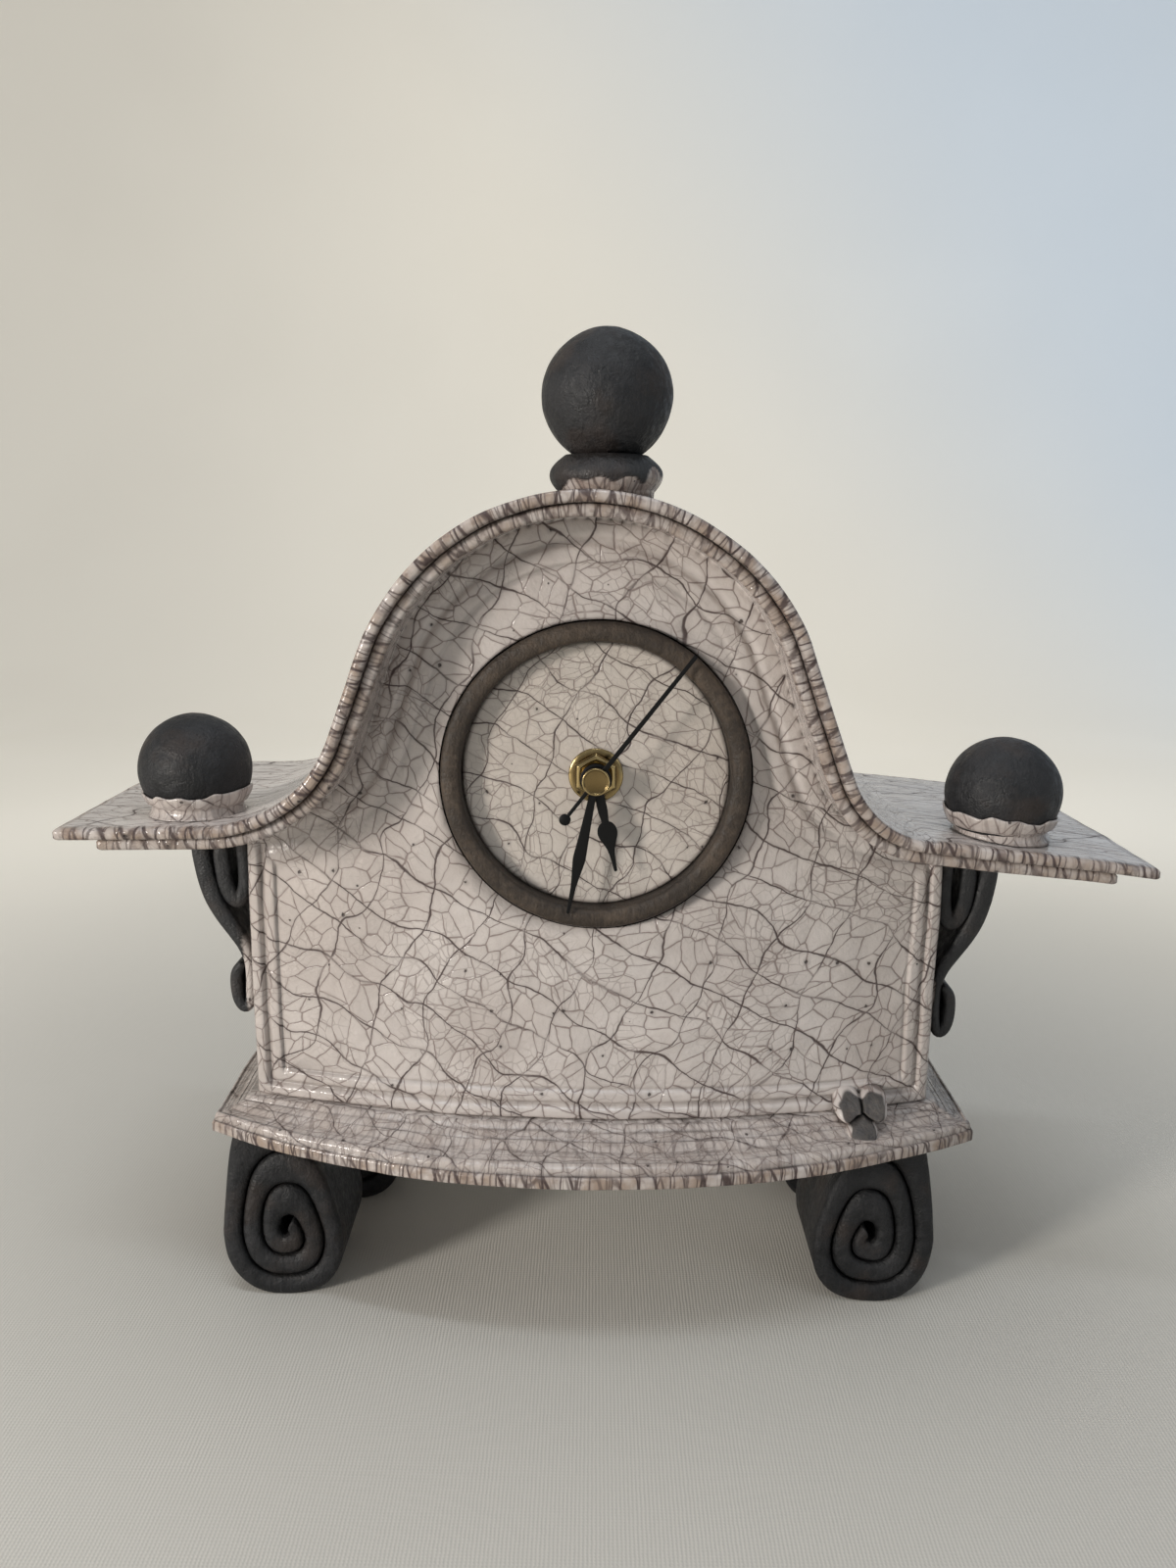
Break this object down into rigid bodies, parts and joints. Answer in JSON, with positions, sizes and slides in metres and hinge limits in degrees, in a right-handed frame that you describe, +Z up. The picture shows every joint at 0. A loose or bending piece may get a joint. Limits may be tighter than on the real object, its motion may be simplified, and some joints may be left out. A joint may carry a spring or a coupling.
{
  "type": "mantel clock",
  "caption": "Crackle-glazed clay mantel clock with an arched, winged roof, rolled clay feet, ball finials and a battery movement whose hands turn.",
  "frame": {"origin": "middle of the floor under the clock: the middle of its box in X and Y, at the bottom of the feet", "axes": "+Z up, +X along the wings to the right seen from the front, +Y from the dial to the open back"},
  "size_m": [0.309, 0.128, 0.2992],
  "materials": {
    "crackle_glaze": "glossy crackle",
    "dial_glaze": "glossy crackle",
    "ring_clay": "matte unglazed",
    "smoked_clay": "matte smoked",
    "brass": "polished",
    "black_metal": "satin",
    "steel": "bright",
    "black_plastic": "matte",
    "white_plastic": "satin",
    "black_rubber": "matte",
    "copper_wire": "lacquered wire",
    "green_board": "satin",
    "battery_wrap": "gloss"
  },
  "bodies": {
    "case": {"base_plate": "crackle_glaze", "front_panel": "crackle_glaze", "left_side_wall": "crackle_glaze", "right_side_wall": "crackle_glaze", "roof_slab": "crackle_glaze", "roof_under_layer": "crackle_glaze", "dial_disc": "dial_glaze", "dial_ring": "ring_clay", "clay_sprig": "ring_clay", "left_wing_ball": "smoked_clay", "right_wing_ball": "smoked_clay", "left_ball_skirt": "crackle_glaze", "right_ball_skirt": "crackle_glaze", "finial_ball": "smoked_clay", "finial_collar": "smoked_clay", "front_left_foot": "smoked_clay", "front_right_foot": "smoked_clay", "rear_left_foot": "smoked_clay", "rear_right_foot": "smoked_clay", "left_scroll_bracket": "smoked_clay", "right_scroll_bracket": "smoked_clay", "brass_washer": "brass", "rubber_washer": "black_rubber", "hex_nut": "brass", "threaded_bush": "brass", "movement_cover": "black_plastic", "movement_body": "black_plastic", "middle_plate": "white_plastic", "stator": "steel", "coil": "copper_wire", "circuit_board": "green_board", "quartz_crystal": "steel", "positive_contact": "steel", "negative_contact": "steel"},
    "seconds": {"second_hand": "black_metal", "hand_cap": "brass", "seconds_wheel": "white_plastic"},
    "minutes": {"minute_hand": "black_metal", "cannon_pinion": "brass"},
    "hours": {"hour_hand": "black_metal", "hour_wheel": "brass"},
    "centre_gear": {"centre_wheel": "white_plastic"},
    "third_gear": {"third_wheel": "white_plastic"},
    "intermediate_gear": {"intermediate_wheel": "white_plastic"},
    "magnet": {"rotor": "steel"},
    "motion_gear": {"motion_wheel": "white_plastic"},
    "knob": {"setting_knob": "white_plastic"},
    "cell": {"battery": "battery_wrap"}
  },
  "joints": [
    {"name": "second_hand_turn", "type": "hinge", "parent": "case", "child": "seconds", "pos_m": [-0.0032, -0.04, 0.174], "axis": [0, 1, 0], "continuous": true},
    {"name": "minute_hand_turn", "type": "hinge", "parent": "case", "child": "minutes", "pos_m": [-0.0032, -0.04, 0.174], "axis": [0, 1, 0], "continuous": true},
    {"name": "hour_hand_turn", "type": "hinge", "parent": "case", "child": "hours", "pos_m": [-0.0032, -0.04, 0.174], "axis": [0, 1, 0], "continuous": true},
    {"name": "centre_wheel_turn", "type": "hinge", "parent": "case", "child": "centre_gear", "pos_m": [-0.0032, -0.024, 0.174], "axis": [0, 1, 0], "continuous": true},
    {"name": "third_wheel_turn", "type": "hinge", "parent": "case", "child": "third_gear", "pos_m": [0.00445, -0.022, 0.174], "axis": [0, 1, 0], "continuous": true},
    {"name": "intermediate_wheel_turn", "type": "hinge", "parent": "case", "child": "intermediate_gear", "pos_m": [-0.01004, -0.02, 0.17795], "axis": [0, 1, 0], "continuous": true},
    {"name": "rotor_turn", "type": "hinge", "parent": "case", "child": "magnet", "pos_m": [-0.01446, -0.02, 0.1805], "axis": [0, 1, 0], "continuous": true},
    {"name": "motion_wheel_turn", "type": "hinge", "parent": "case", "child": "motion_gear", "pos_m": [-0.0032, -0.027, 0.18], "axis": [0, 1, 0], "continuous": true},
    {"name": "setting_knob_turn", "type": "hinge", "parent": "case", "child": "knob", "pos_m": [-0.0032, -0.011, 0.18638], "axis": [0, 1, 0], "continuous": true},
    {"name": "battery_slide", "type": "slide", "parent": "case", "child": "cell", "axis": [0, 1, 0], "range_m": [0, 0.018]}
  ],
  "couplings": [
    {"joint": "third_wheel_turn", "follows": "second_hand_turn", "ratio": -0.13333},
    {"joint": "centre_wheel_turn", "follows": "second_hand_turn", "ratio": 0.016667},
    {"joint": "intermediate_wheel_turn", "follows": "second_hand_turn", "ratio": -4},
    {"joint": "rotor_turn", "follows": "second_hand_turn", "ratio": 30},
    {"joint": "hour_hand_turn", "follows": "minute_hand_turn", "ratio": 0.083333},
    {"joint": "motion_wheel_turn", "follows": "minute_hand_turn", "ratio": -0.33333},
    {"joint": "setting_knob_turn", "follows": "minute_hand_turn", "ratio": 0.8}
  ]
}
